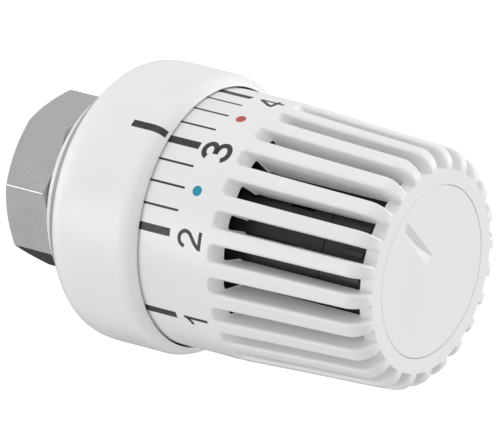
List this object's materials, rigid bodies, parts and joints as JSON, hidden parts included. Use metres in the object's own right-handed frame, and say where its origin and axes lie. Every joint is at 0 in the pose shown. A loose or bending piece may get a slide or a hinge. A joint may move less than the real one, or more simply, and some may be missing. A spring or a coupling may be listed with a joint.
{
  "type": "thermostatic radiator valve head",
  "caption": "Self-regulating radiator valve head: turning dial over a fixed ring, slotted sensor housing, rear union nut, with the liquid sensor and pressure pin inside.",
  "frame": {"origin": "centre of the annular seat face that closes on the valve body", "axes": "+X along the head's axis from the valve to the end cap, +Z towards the index mark on the fixed ring, with the dial at setting three"},
  "size_m": [0.0875, 0.0548, 0.0548],
  "materials": {
    "white_plastic": "fine satin moulding",
    "white_inner_plastic": "matt moulding",
    "black_plastic": "fine grained matt",
    "nickel": "satin nickel plate on brass",
    "spring_steel": "drawn wire",
    "pin_steel": "ground",
    "can_metal": "drawn shell",
    "bellows_metal": "bright rolled",
    "copper": "crimped tube",
    "blue_plastic": "matt",
    "red_plastic": "matt",
    "acetal": "matt"
  },
  "bodies": {
    "base": {"neck_bush": "nickel", "nut_snap_ring": "spring_steel", "nut_slip_washer": "acetal", "base_socket": "white_inner_plastic", "base_ring": "white_plastic", "base_rear_cover": "white_plastic", "limit_pin_low": "blue_plastic", "limit_pin_high": "red_plastic"},
    "nut": {"union_nut": "nickel"},
    "carriage": {"cage_body": "black_plastic", "cage_cap": "black_plastic", "retaining_clip": "spring_steel", "overtravel_spring": "spring_steel"},
    "dial": {"handwheel": "white_plastic", "end_cap": "white_plastic"},
    "sensor": {"sensor_can": "can_metal", "can_closure": "can_metal", "fill_stub": "copper", "guide_bush": "acetal", "spring_cup": "spring_steel", "bellows": "bellows_metal", "return_spring": "spring_steel"},
    "pin": {"bellows_head": "bellows_metal", "pressure_pin": "pin_steel", "pin_button": "acetal"}
  },
  "joints": [
    {"name": "nut_turn", "type": "hinge", "parent": "base", "child": "nut", "pos_m": [0, 0, 0], "axis": [1, 0, 0], "continuous": true},
    {"name": "carriage_feed", "type": "slide", "parent": "base", "child": "carriage", "axis": [1, 0, 0], "range_m": [-0.00269, 0.00134]},
    {"name": "dial_turn", "type": "hinge", "parent": "carriage", "child": "dial", "pos_m": [0, 0, 0], "axis": [1, 0, 0], "range_deg": [-161.9, 80.9]},
    {"name": "overtravel", "type": "slide", "parent": "carriage", "child": "sensor", "axis": [1, 0, 0], "range_m": [0, 0.004], "stiffness_N_per_m": 9000, "springref_m": -0.009, "deforming": ["overtravel_spring"]},
    {"name": "thermal_stroke", "type": "slide", "parent": "sensor", "child": "pin", "axis": [-1, 0, 0], "range_m": [-0.0012, 0.0018], "stiffness_N_per_m": 4000, "deforming": ["bellows", "return_spring"]}
  ],
  "couplings": [
    {"joint": "dial_turn", "follows": "carriage_feed", "rad_per_m": 1047.2}
  ]
}
